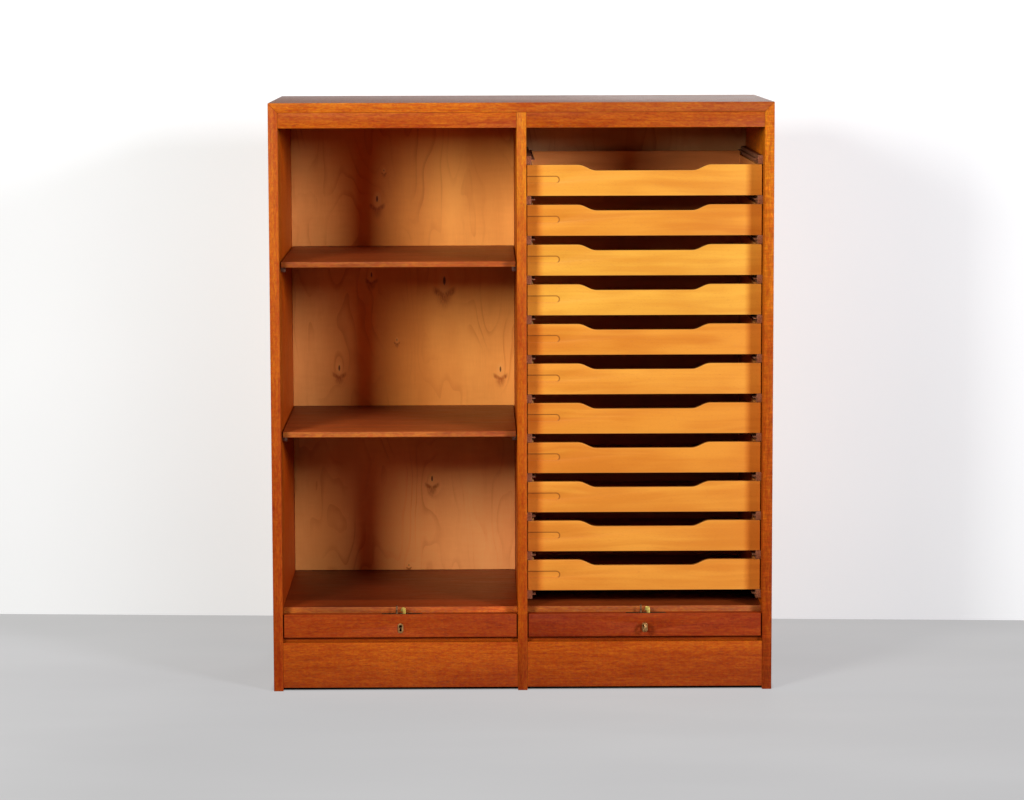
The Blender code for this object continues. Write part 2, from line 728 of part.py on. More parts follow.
def make_trays(left, right, wood):
    """The equal trays, numbered from the top."""
    middle = (left + right) / 2
    half = (right - left) / 2 - tray_side_gap
    length = tray_rear - tray_setback
    front_mesh = tray_front_mesh(half, wood)
    box_mesh = tray_box_mesh(half, length, wood)
    for index in range(tray_count):
        height = lowest_tray_bottom + tray_pitch * (tray_count - 1 - index)
        place = (middle, depth(tray_setback), height)
        add_object(f"tray_{index + 1:02d}_front", front_mesh, wood, place)
        add_object(f"tray_{index + 1:02d}_box", box_mesh, wood, place)


def main():
    """Build the whole cabinet."""
    for old in list(bpy.data.objects):
        bpy.data.objects.remove(old)
    case_wood = finish("case_wood", (0.46, 0.14, 0.035), 0.42)
    plywood = finish("plywood", (0.62, 0.36, 0.17), 0.55)
    beech = finish("beech", (0.78, 0.45, 0.16), 0.45)
    slat_wood = finish("slat_wood", (0.40, 0.12, 0.035), 0.5)
    brass = finish("brass", (0.75, 0.58, 0.25), 0.3, 1.0)
    steel = finish("steel", (0.55, 0.54, 0.52), 0.4, 1.0)
    runner_wood = finish("runner_wood", (0.22, 0.10, 0.05), 0.6)
    make_sides(case_wood)
    make_top(case_wood)
    make_partition(case_wood)
    make_outer_back(plywood)
    for bay in bays:
        make_header(*bay, case_wood)
        make_strike(*bay, brass)
        make_bay_panels(*bay, case_wood, plywood)
        make_curtain(*bay, slat_wood)
        make_rail(*bay, case_wood)
        make_lock(*bay, steel)
        make_hook(*bay, brass)
        make_escutcheon(*bay, brass)
    left_bay, right_bay = (bay[1:] for bay in bays)
    make_key(*right_bay, brass)
    make_shelves(*left_bay, case_wood)
    make_pins(*left_bay, steel)
    make_runners(*right_bay, runner_wood)
    make_trays(*right_bay, beech)


main()
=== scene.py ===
"""The looks of the double tambour cabinet: finishes, softened edges, curtains, fittings and studio."""

import json
import math
import random

import bmesh
import bpy
import numpy as np
from mathutils import Matrix, Vector


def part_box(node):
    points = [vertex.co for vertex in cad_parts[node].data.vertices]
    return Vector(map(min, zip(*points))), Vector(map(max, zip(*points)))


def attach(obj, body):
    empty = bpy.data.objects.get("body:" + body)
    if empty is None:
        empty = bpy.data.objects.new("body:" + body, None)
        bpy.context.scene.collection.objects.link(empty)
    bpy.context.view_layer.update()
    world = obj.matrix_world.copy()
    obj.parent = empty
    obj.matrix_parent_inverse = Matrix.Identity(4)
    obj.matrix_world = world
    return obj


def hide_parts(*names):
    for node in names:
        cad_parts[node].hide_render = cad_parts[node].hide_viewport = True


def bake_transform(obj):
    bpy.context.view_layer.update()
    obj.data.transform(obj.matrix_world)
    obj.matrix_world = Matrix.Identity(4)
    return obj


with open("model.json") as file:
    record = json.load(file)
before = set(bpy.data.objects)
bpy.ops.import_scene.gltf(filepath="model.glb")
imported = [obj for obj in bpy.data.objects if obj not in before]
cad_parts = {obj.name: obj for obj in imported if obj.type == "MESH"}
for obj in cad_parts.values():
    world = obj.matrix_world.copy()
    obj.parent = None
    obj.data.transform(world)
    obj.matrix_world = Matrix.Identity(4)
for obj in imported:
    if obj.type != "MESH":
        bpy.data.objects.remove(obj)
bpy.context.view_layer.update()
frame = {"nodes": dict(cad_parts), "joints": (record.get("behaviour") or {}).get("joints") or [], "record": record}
nodes = frame["nodes"]
bodies = frame["record"]["behaviour"]["bodies"]
body_of_node = {node: body for body, members in bodies.items() for node in members}
picks = random.Random(7)

# Places taken from the frame
front_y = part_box("left_side")[0].y
case_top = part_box("top_panel")[1].z
rail_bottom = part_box("left_rail")[0].z
plinth_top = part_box("left_plinth")[1].z
rail_travel = next(-joint["range_m"][0] for joint in frame["joints"] if joint["name"] == "left_tambour")

# Camera
camera_place = (-0.08745, -6.94363, 1.37933)
camera_pan = -0.01004
camera_tilt = math.pi / 2 - 0.11752
camera_roll = -0.00291
camera_lens = 119.24
camera_sensor = 36.0

# Lamps: name, place, aim, power in watts, colour and spread
lamp_size = (0.95, 1.12)
front_spread = math.radians(80)
lamps = (
    ("left_lamp", (-2.00, front_y - 3.0, 1.88), (0, front_y, 1.05), 27.5, (1.0, 0.97, 0.94), front_spread),
    ("right_lamp", (2.85, front_y - 3.3, 1.95), (0, front_y, 1.25), 37, (1.0, 0.96, 1.05), front_spread),
    ("rear_lamp", (0.7, 4.0, 0.9), (0, 0, 0.55), 60, (1.0, 0.97, 0.93), math.pi),
)
ambient = 0.02

# Stage: two points of the wall's foot, and how far the surfaces reach
wall_left = (-1.173, 0.645)
wall_right = (1.127, 0.506)
stage_reach = 12.0
wall_height = 6.0

# Widths that edges are rounded by, and the bevel's settings
board_round = 0.0007
tray_round = 0.0009
fitting_round = 0.0004
small_round = 0.0003
plate_round = 0.0002
round_segments = 2
round_angle = math.radians(30)
weld_distance = 1e-6
flat_angle = math.radians(0.5)

# How much of a face's direction lies along an axis that it counts as facing
square_on = 0.9

# Where the finishes of the case's boards count from, and the axes by number
case_start = (0, front_y, 0)
x_axis, y_axis, z_axis = 0, 1, 2

# For each grain direction, the axes along the grain, across it and through the board
grain_axes = {"X": (0, 2, 1), "Y": (1, 0, 2), "Z": (2, 0, 1)}


def rgb(red, green, blue):
    """A colour with full alpha."""
    return (red, green, blue, 1.0)


def times(colour, factors):
    """A colour's channels times three factors."""
    return rgb(*(part * factor for part, factor in zip(colour, factors)))


plain = rgb(1.0, 1.0, 1.0)


class Tree:
    """The nodes of a material or world, with a short call for each kind that is used here."""

    def __init__(self, owner):
        owner.use_nodes = True
        self.owner = owner
        self.nodes = owner.node_tree.nodes
        self.links = owner.node_tree.links
        self.shader = self.nodes.get("Principled BSDF")
        self.output = self.nodes.get("Material Output")

    def put(self, socket, value):
        """Join a socket, or set its value."""
        if isinstance(value, bpy.types.NodeSocket):
            self.links.new(value, socket)
        else:
            socket.default_value = value

    def add(self, kind, values, **settings):
        """A new node with its settings and inputs."""
        made = self.nodes.new(kind)
        for key, value in settings.items():
            setattr(made, key, value)
        for key, value in values.items():
            self.put(made.inputs[key], value)
        return made

    def calc(self, operation, first, second=0.0, third=0.0):
        """Arithmetic on numbers."""
        return self.add("ShaderNodeMath", {0: first, 1: second, 2: third}, operation=operation).outputs[0]

    def product(self, first, *others):
        """Numbers times each other."""
        for other in others:
            first = self.calc("MULTIPLY", first, other)
        return first

    def total(self, first, *others):
        """The sum of pairs of a value and its weight."""
        result = self.calc("MULTIPLY", *first)
        for value, weight in others:
            result = self.calc("MULTIPLY_ADD", value, weight, result)
        return result

    def vector(self, operation, first, second):
        """Arithmetic on vectors."""
        return self.add("ShaderNodeVectorMath", {0: first, 1: second}, operation=operation).outputs[0]

    def join(self, x, y, z):
        """A vector from its three parts."""
        return self.add("ShaderNodeCombineXYZ", {0: x, 1: y, 2: z}).outputs[0]

    def split(self, vector):
        """The three parts of a vector."""
        return self.add("ShaderNodeSeparateXYZ", {0: vector}).outputs

    def noise(self, place, stretch, detail=2.0, roughness=0.5, distortion=0.0):
        """Soft noise, near 0.5, whose grains are one over each stretch long."""
        scaled = self.vector("MULTIPLY", place, stretch)
        return self.add("ShaderNodeTexNoise", {"Vector": scaled, "Scale": 1.0, "Detail": detail,
                                               "Roughness": roughness, "Distortion": distortion}).outputs[0]

    def ramp(self, value, start, end, low=0.0, high=1.0):
        """A smooth step from low to high as the value goes from start to end."""
        return self.add("ShaderNodeMapRange", {0: value, 1: start, 2: end, 3: low, 4: high},
                        interpolation_type="SMOOTHSTEP").outputs[0]

    def level(self, value, start, end, low=0.0, high=1.0):
        """A straight step from low to high as the value goes from start to end."""
        return self.add("ShaderNodeMapRange", {0: value, 1: start, 2: end, 3: low, 4: high}).outputs[0]

    def tint(self, share, low, high):
        """A blend of two colours."""
        return self.add("ShaderNodeMix", {0: share, 6: low, 7: high}, data_type="RGBA").outputs[2]

    def scaled(self, colour, amounts):
        """A colour times a factor for each channel."""
        return self.vector("MULTIPLY", colour, amounts)

    def coordinates(self, kind):
        """Blender's own coordinates of the point, such as Object or Normal."""
        return self.add("ShaderNodeTexCoord", {}).outputs[kind]

    def grain(self):
        """The board's own coordinates in metres: along the grain, across it and through the board."""
        return self.add("ShaderNodeAttribute", {}, attribute_name="grain").outputs["Vector"]

    def spot(self):
        """The place on the piece in metres, from its starting point."""
        return self.add("ShaderNodeAttribute", {}, attribute_name="spot").outputs["Vector"]

    def swayed(self, place, stretch, width):
        """Grain coordinates that wander within a width across the grain."""
        sway = self.calc("MULTIPLY_ADD", self.noise(place, stretch), width, -width / 2)
        return self.vector("ADD", place, self.join(0.0, sway, sway))

    def edge(self):
        """Near 1 on the rounded edges of a board and 0 on its flat faces."""
        sizes = [self.calc("ABSOLUTE", part) for part in self.split(self.coordinates("Normal"))]
        largest = self.calc("MAXIMUM", self.calc("MAXIMUM", sizes[0], sizes[1]), sizes[2])
        return self.ramp(largest, 0.985, 0.80)

    def seen(self):
        """1 where the camera looks, straight or by way of a reflection or glass."""
        path = self.add("ShaderNodeLightPath", {}).outputs
        nearly = self.calc("MAXIMUM", path["Is Camera Ray"], path["Is Glossy Ray"])
        return self.calc("MAXIMUM", nearly, path["Is Transmission Ray"])

    def bump(self, height, depth):
        """A bump whose full height is this many metres."""
        bump = self.add("ShaderNodeBump", {"Height": height, "Strength": 1.0, "Distance": depth})
        self.put(self.shader.inputs["Normal"], bump.outputs[0])

    def finish(self, colour, roughness, specular, metallic=0.0):
        """Join the colour and roughness to the shader, and set its constants."""
        self.put(self.shader.inputs["Base Color"], colour)
        self.put(self.shader.inputs["Roughness"], roughness)
        self.shader.inputs["Specular IOR Level"].default_value = specular
        self.shader.inputs["Metallic"].default_value = metallic
        return self.owner

    def show(self, shader):
        """Give the surface another shader than the usual one."""
        self.put(self.output.inputs["Surface"], shader)


def material_tree(name):
    """The nodes of a new material."""
    return Tree(bpy.data.materials.new(name))


def blend_along(tree, colour, steps):
    """Scale a colour by steps, each from one factor to another between two places along an axis."""
    spot = tree.split(tree.spot())
    for axis, start, end, first, last in steps:
        colour = tree.scaled(colour, tree.tint(tree.level(spot[axis], start, end), first, last))
    return colour


def blend_front(tree, colour, factor):
    """Scale a colour on the faces that look forward."""
    forward = tree.calc("MULTIPLY", tree.split(tree.coordinates("Normal"))[y_axis], -1)
    return tree.scaled(colour, tree.tint(tree.ramp(forward, 0.6, 0.9), plain, factor))


# Factors of the case wood's streaks, of its dark colour in the pores and its light one on rubbed edges
red_streak = rgb(0.92, 0.74, 0.85)
golden_streak = rgb(1.07, 1.25, 1.15)
pore_share = (0.3, 0.3, 0.3)
rubbed_share = (1.3, 1.3, 1.3)
case_bump = 0.00012


def streaked(tree, bent, colour, ripple):
    """Add short golden and red streaks to a colour, and ripples across the grain."""
    figure = tree.noise(bent, (120.0, 330.0, 330.0), 2.0, 0.6, 0.8)
    colour = tree.scaled(colour, tree.tint(tree.ramp(figure, 0.34, 0.66), red_streak, golden_streak))
    if ripple:
        waves = tree.noise(bent, (300.0, 40.0, 40.0), 1.0, 0.5, 0.6)
        factor = tree.ramp(waves, 0.42, 0.70, 1.0 - ripple / 3, 1.0 + ripple)
        colour = tree.scaled(colour, tree.join(factor, factor, factor))
    return colour


def case_wood(name, light, dark, ripple=0.0, steps=(), front=plain, shine=0.10):
    """Oiled reddish hardwood: slow bands, short golden and red streaks, dark pores, and ripples across.

    The steps scale its colour along the piece, most of them as painted light and shade, and front scales the faces
    that look forward."""
    tree = material_tree(name)
    place = tree.grain()
    bent = tree.swayed(place, (1.5, 7.0, 7.0), 0.030)
    bands = tree.noise(bent, (1.6, 60.0, 60.0), 3.0, 0.6)
    streaks = tree.noise(bent, (14.0, 260.0, 260.0), 3.0, 0.6)
    blotches = tree.noise(place, (26.0, 90.0, 90.0), 3.0, 0.65, 0.6)
    patches = tree.noise(place, (3.5, 12.0, 12.0), 3.0)
    mixed = tree.total((streaks, 0.26), (bands, 0.24), (blotches, 0.24), (patches, 0.26))
    colour = streaked(tree, bent, tree.tint(tree.level(mixed, 0.41, 0.59), dark, light), ripple)
    pores = tree.ramp(tree.noise(bent, (85.0, 1500.0, 1500.0), 1.0), 0.60, 0.70)
    colour = tree.tint(tree.calc("MULTIPLY", pores, 0.45), colour, times(dark, pore_share))
    colour = blend_along(tree, colour, steps)
    if front != plain:
        colour = blend_front(tree, colour, front)
    rubbed = tree.product(tree.edge(), tree.ramp(patches, 0.35, 0.65, 0.1, 0.5))
    colour = tree.tint(rubbed, colour, times(light, rubbed_share))
    tree.bump(tree.calc("SUBTRACT", tree.calc("MULTIPLY", streaks, 0.5), pores), case_bump)
    dullest = 0.56 - 0.4 * shine
    return tree.finish(colour, tree.ramp(streaks, 0.3, 0.7, dullest - 0.12, dullest), shine)


# The label recess of a tray, from the board's lower left corner, and the painted shade in it
label_top = 0.0390
label_height = 0.0135
label_length = 0.0640
label_painted_shade = rgb(0.22, 0.065, 0.012)

# Painted light and shade on the front boards: lower boards lighter and upper boards darker, changing between these
# heights
label_board_heights = (0.2, 1.0)
low_board_painted_light = rgb(1.05, 1.00, 1.04)
high_board_painted_shade = rgb(0.92, 0.98, 0.95)

beech_fleck = rgb(0.42, 0.12, 0.015)
beech_edge = rgb(1.0, 0.55, 0.16)
beech_bump = 0.00006


def label_line(tree):
    """Painted shade in the corner of the label recess: along its top and round its closed end."""
    across, _, up = tree.split(tree.spot())
    radius = label_height / 2
    past = tree.calc("MAXIMUM", tree.calc("SUBTRACT", across, label_length - radius), 0.0)
    rise = tree.calc("SUBTRACT", up, label_top - radius)
    reach = tree.calc("SQRT", tree.calc("MULTIPLY_ADD", past, past, tree.calc("MULTIPLY", rise, rise)))
    off = tree.calc("ABSOLUTE", tree.calc("SUBTRACT", reach, radius))
    line = tree.ramp(off, 0.0016, 0.0006)
    upper = tree.ramp(rise, -radius * 1.05, -radius * 0.6, 0.15, 1.0)
    return tree.product(line, upper, 0.68)


def label_board(tree, colour):
    """The front board's painted light and shade by its height in the bay, and the painted shade in its label
    recess.
    """
    height = tree.split(tree.coordinates("Object"))[z_axis]
    tone = tree.tint(tree.level(height, *label_board_heights), low_board_painted_light, high_board_painted_shade)
    return tree.tint(label_line(tree), tree.scaled(colour, tone), label_painted_shade)


def beech(name, light, dark, steps, label):
    """Lacquered beech: a warm yellow ground, faint wavy bands and short darker flecks along the grain."""
    tree = material_tree(name)
    place = tree.grain()
    bent = tree.swayed(place, (3.0, 12.0, 12.0), 0.05)
    bands = tree.noise(bent, (1.6, 60.0, 60.0), 3.0, 0.55)
    clouds = tree.noise(place, (5.0, 14.0, 14.0))
    colour = tree.tint(tree.ramp(tree.total((clouds, 0.7), (bands, 0.6)), 0.48, 0.82), dark, light)
    fibres = tree.noise(bent, (20.0, 700.0, 700.0), 3.0, 0.7)
    flecks = tree.ramp(tree.noise(bent, (150.0, 1500.0, 1500.0), 1.0), 0.62, 0.72)
    colour = tree.tint(tree.calc("MULTIPLY", flecks, 0.30), colour, beech_fleck)
    colour = tree.tint(tree.calc("MULTIPLY", tree.edge(), 0.35), colour, beech_edge)
    # The steps paint shade and light along the board
    colour = blend_along(tree, colour, steps)
    if label:
        colour = label_board(tree, colour)
    tree.bump(tree.calc("SUBTRACT", fibres, flecks), beech_bump)
    return tree.finish(colour, tree.ramp(fibres, 0.3, 0.7, 0.34, 0.46), 0.12)


# Knots of each plywood sheet: place across and up from the sheet's lower left corner, and size
left_knots = ((0.181, 0.795, 1.10), (0.168, 0.634, 0.90), (0.3225, 0.621, 1.55), (0.098, 0.4355, 1.0),
              (0.441, 0.4315, 1.0), (0.221, 0.495, 0.45), (0.294, 0.197, 1.0), (0.196, 0.855, 0.4),
              (0.2435, 0.010, 0.4))
right_knots = ((0.120, 0.700, 0.9), (0.340, 0.450, 0.8))
knot_half_width = 0.011
knot_half_height = 0.022

# Plywood colours, and factors of a sheet's left part, middle and right part: painted shade in the middle and
# painted light on the right
birch_dark = rgb(0.78, 0.295, 0.058)
birch_light = rgb(0.95, 0.405, 0.085)
birch_line = rgb(0.50, 0.125, 0.018)
knot_pale = rgb(0.98, 0.46, 0.12)
knot_beard = rgb(0.38, 0.075, 0.012)
knot_slit = rgb(0.06, 0.016, 0.008)
sheet_middle_painted_shade = rgb(1.0, 0.88, 0.78)
sheet_right_painted_light = rgb(1.05, 1.20, 1.35)
birch_bump = 0.00006

# Factors of one sheet: all of it, its left part and its lower part. The left part is lighter as painted light, the
# lower part is lighter towards the foot, and the right sheet is darker all over
left_sheet_painted_light = (plain, rgb(0.98, 1.06, 1.35), rgb(1.17, 1.25, 1.9))
right_sheet_painted_light = (rgb(0.62, 0.70, 1.2), rgb(1.45, 1.65, 2.0), plain)

# The outer back's place in the noise, and where its knots count from
outer_offset = (3.5, 2, 0)
outer_corner = (3, 2, 0)


def oval(tree, x_share, z_share, half_width, middle, half_height):
    """The squared distance from an oval's middle, 1 on its rim."""
    width = tree.calc("DIVIDE", x_share, half_width)
    height = tree.calc("DIVIDE", tree.calc("SUBTRACT", z_share, middle), half_height)
    return tree.calc("MULTIPLY_ADD", width, width, tree.calc("MULTIPLY", height, height))


def knot_beards(tree, offset, x_share, z_share, shift):
    """The dark whiskers below a knot: two wings that rise outwards, a cloud between them, and fibres."""
    side = tree.calc("ABSOLUTE", x_share)
    fall = tree.calc("SUBTRACT", tree.calc("ADD", z_share, 0.98), tree.calc("MULTIPLY", side, 0.30))
    wings = tree.product(tree.ramp(tree.calc("ABSOLUTE", fall), 0.36, 0.05), tree.ramp(side, 1.60, 0.95))
    cloud = tree.product(tree.ramp(fall, 0.10, -0.15), tree.ramp(fall, -1.05, -0.20),
                         tree.ramp(side, 1.25, 0.25, 0.0, 0.80))
    fibres = tree.noise(tree.vector("ADD", offset, shift), (700.0, 110.0, 1.0))
    return tree.product(tree.calc("MAXIMUM", wings, cloud), tree.ramp(fibres, 0.35, 0.60, 0.50, 1.0))


def knot(tree, flat, across, up, size):
    """One knot of rotary-cut veneer: how far the rings bend, the pale eye, the slit, and the whiskers.

    The ovals are given in shares of the knot's half width and half height."""
    offset = tree.vector("SUBTRACT", flat, (across, up, 0.0))
    shares = tree.vector("DIVIDE", offset, (knot_half_width * size, knot_half_height * size, 1.0))
    x_share, z_share, _ = tree.split(shares)
    around = oval(tree, x_share, z_share, 1.0, -0.3, 1.0)
    bend = tree.calc("DIVIDE", 1.0, tree.calc("ADD", 1.0, tree.calc("MULTIPLY", around, 0.20)))
    pale = tree.ramp(oval(tree, x_share, z_share, 0.85, -0.15, 0.95), 1.0, 0.35)
    slit = tree.ramp(oval(tree, x_share, z_share, 0.20, 0.0, 0.32), 1.0, 0.30)
    beard = knot_beards(tree, offset, x_share, z_share, (across, up, size))
    return bend, pale, slit, beard


def ring_lines(tree, flat, shapes, knots):
    """Wandering ring lines that bend round the knots and fade here and there."""
    field = tree.calc("MULTIPLY", tree.noise(flat, (5.0, 1.5, 0.0), 3.0, 0.45), 1.6)
    for (bend, _, _, _), (_, _, size) in zip(shapes, knots):
        field = tree.calc("MULTIPLY_ADD", bend, 0.16 * size, field)
    rings = tree.calc("FRACT", tree.calc("MULTIPLY", field, 15.0))
    fade = tree.ramp(tree.noise(flat, (12.0, 5.0, 1.0)), 0.36, 0.66)
    return tree.product(tree.ramp(rings, 0.62, 0.97), tree.ramp(rings, 1.0, 0.985), fade)


def sheet_tone(tree, flat, colour, factors):
    """Painted light and shade across a sheet: lighter at the left, darker and redder in the middle, lighter at the
    right, and a change towards its foot.
    """
    whole, left, low = factors
    across, up, _ = tree.split(flat)
    colour = tree.scaled(colour, tree.tint(tree.ramp(across, 0.0, 0.20), left, sheet_middle_painted_shade))
    colour = tree.scaled(colour, tree.tint(tree.ramp(across, 0.22, 0.38), plain, sheet_right_painted_light))
    lower = tree.product(tree.ramp(up, 0.30, 0.18), tree.ramp(across, 0.05, 0.25))
    colour = tree.scaled(colour, tree.tint(lower, plain, low))
    return tree.scaled(colour, whole[:3])


def plywood(name, knots, corner, factors):
    """Rotary-cut birch: ring lines, faint ripples, small flecks and knots."""
    tree = material_tree(name)
    flat = tree.vector("SUBTRACT", tree.grain(), corner)
    shapes = [knot(tree, flat, *each) for each in knots]
    line = ring_lines(tree, flat, shapes, knots)
    wash = tree.noise(flat, (7.0, 1.6, 0.0), 3.0)
    fine = tree.noise(flat, (420.0, 30.0, 1.0), 3.0, 0.7)
    ripple = tree.noise(flat, (25.0, 120.0, 1.0))
    tone = tree.total((wash, 1.02), (fine, 0.16), (ripple, 0.10))
    colour = tree.tint(tree.ramp(tone, 0.46, 0.84), birch_dark, birch_light)
    colour = tree.tint(tree.calc("MULTIPLY", line, 0.40), colour, birch_line)
    # Painted light and shade across the sheet
    colour = sheet_tone(tree, flat, colour, factors)
    for _, pale, slit, beard in shapes:
        colour = tree.tint(tree.calc("MULTIPLY", pale, 0.35), colour, knot_pale)
        colour = tree.tint(tree.calc("MULTIPLY", beard, 0.85), colour, knot_beard)
        colour = tree.tint(tree.calc("MULTIPLY", slit, 0.88), colour, knot_slit)
    tree.bump(tree.calc("SUBTRACT", fine, line), birch_bump)
    return tree.finish(colour, tree.ramp(fine, 0.3, 0.7, 0.46, 0.60), 0.10)


metal_bump = 0.00004


def metal(name, bright, dull, roughness, wear):
    """Old metal: polished on the worn places, darker and rougher where it is tarnished."""
    tree = material_tree(name)
    place = tree.coordinates("Object")
    stains = tree.noise(place, (240.0, 240.0, 240.0), 4.0, 0.65)
    brushed = tree.noise(place, (1600.0, 220.0, 1600.0))
    share = tree.ramp(stains, 0.5 - wear, 0.5 + wear)
    rough = tree.calc("MULTIPLY_ADD", share, -0.18, roughness + 0.18)
    tree.bump(tree.calc("MULTIPLY_ADD", brushed, 0.4, stains), metal_bump)
    return tree.finish(tree.tint(share, dull, bright), rough, 0.5, 1.0)


runner_dark = rgb(0.12, 0.042, 0.018)
runner_light = rgb(0.24, 0.092, 0.040)
runner_edge = rgb(0.42, 0.24, 0.15)
runner_front = rgb(1.7, 1.5, 1.5)
runner_bump = 0.00008


def runner_wood():
    """Darkened runner strips with a dull waxed face."""
    tree = material_tree("runner_wood")
    place = tree.grain()
    fibres = tree.noise(place, (12.0, 500.0, 500.0), 3.0, 0.7)
    rub = tree.noise(place, (6.0, 60.0, 60.0))
    colour = tree.tint(tree.ramp(fibres, 0.35, 0.65), runner_dark, runner_light)
    rubbed = tree.product(tree.edge(), tree.ramp(rub, 0.4, 0.6, 0.2, 0.7))
    colour = blend_front(tree, tree.tint(rubbed, colour, runner_edge), runner_front)
    tree.bump(fibres, runner_bump)
    return tree.finish(colour, tree.ramp(rub, 0.35, 0.65, 0.42, 0.60), 0.15)


canvas_dark = rgb(0.30, 0.24, 0.16)
canvas_light = rgb(0.44, 0.37, 0.27)
canvas_threads = 5200.0
canvas_bump = 0.00015


def canvas():
    """The woven cloth that the slats are glued to."""
    tree = material_tree("canvas")
    place = tree.coordinates("Object")
    x, _, z = tree.split(tree.vector("MULTIPLY", place, (canvas_threads, 1.0, canvas_threads)))
    weave = tree.product(tree.calc("SINE", x), tree.calc("SINE", z))
    dirt = tree.noise(place, (30.0, 30.0, 30.0), 3.0)
    tree.bump(weave, canvas_bump)
    return tree.finish(tree.tint(tree.ramp(dirt, 0.35, 0.65), canvas_dark, canvas_light),
                       tree.ramp(weave, -1.0, 1.0, 0.86, 0.78), 0.2)


# Steps of a finish: axis, start and end in metres from the starting point, factors before and after
# Painted shade: the sides and the partition grow darker towards the floor, most of all just above it
upright_foot_painted_shade = (z_axis, 0.05, 1.0, rgb(0.84, 0.55, 1.0), plain)
divider_foot_painted_shade = (z_axis, 0.05, 1.0, rgb(0.95, 0.74, 0.9), plain)
rippled_foot_painted_shade = (z_axis, 0.05, 1.0, rgb(0.80, 0.55, 0.8), plain)
lowest_painted_shade = (z_axis, 0.04, 0.13, rgb(0.72, 0.65, 1.0), plain)
golden_top = (z_axis, 0.945, 0.975, plain, rgb(1.12, 1.36, 1.15))
golden_half = (z_axis, 0.735, 0.775, plain, rgb(1.12, 1.30, 1.1))
behind_rail = (y_axis, 0.100, 0.108, plain, rgb(1.16, 1.02, 1.2))
front_strip = (y_axis, 0.108, 0.112, rgb(1.45, 1.40, 1.3), plain)
# Painted shade: the top panel darkens towards its right end, and the right header is darker than the left
top_right_painted_shade = (x_axis, -0.08, 0.20, rgb(1.0, 1.05, 1.0), rgb(0.68, 0.61, 0.8))
header_right_painted_shade = (x_axis, -0.05, 0.05, plain, rgb(0.88, 0.84, 0.8))
# Painted shade and light: the plinths darken towards the floor and lighten towards their top
plinth_painted_shade_and_light = (z_axis, 0.01, 0.095, rgb(0.76, 0.68, 1.0), rgb(1.15, 1.32, 1.0))
# Painted shade: the left rail darkens from its left end towards the middle, and the right rail is darker at its
# left end
left_rail_painted_shade = (x_axis, -0.45, -0.05, rgb(1.05, 1.08, 1.0), rgb(0.92, 0.88, 1.0))
right_rail_painted_shade = (x_axis, 0.0, 0.40, rgb(0.68, 0.56, 0.7), plain)
# Painted shadow and light on the shelves: darker towards the partition, and the lower shelf lighter at the front
# and darker at the back
upper_shelf_painted_shadow = (x_axis, -0.24, -0.10, plain, rgb(0.95, 0.80, 0.70))
lower_shelf_painted_light_and_shade = (y_axis, 0.03, 0.45, rgb(1.46, 1.54, 1.6), rgb(0.62, 0.60, 0.7))
lower_shelf_painted_shadow = (x_axis, -0.20, -0.06, plain, rgb(0.86, 0.74, 0.74))
# Painted shade and light on the left bay's bottom: dark from near its left end, and lighter towards the partition
bottom_left_painted_shade = (x_axis, -0.47, -0.40, rgb(1.0, 0.88, 1.0), rgb(0.62, 0.57, 0.80))
bottom_right_painted_light = (x_axis, -0.36, -0.06, plain, rgb(2.0, 1.55, 0.90))
# Painted shade: both ends of each tray front are redder, with less green and blue, where the partition and the
# side shade them
tray_left_painted_shade = (x_axis, 0.022, 0.034, rgb(1.10, 0.88, 0.78), plain)
tray_right_painted_shade = (x_axis, 0.4335, 0.4455, plain, rgb(1.08, 0.83, 0.70))
# Painted light: the left part of each tray box is lighter
box_left_painted_light = (x_axis, 0.02, 0.17, rgb(1.42, 1.85, 2.3), plain)

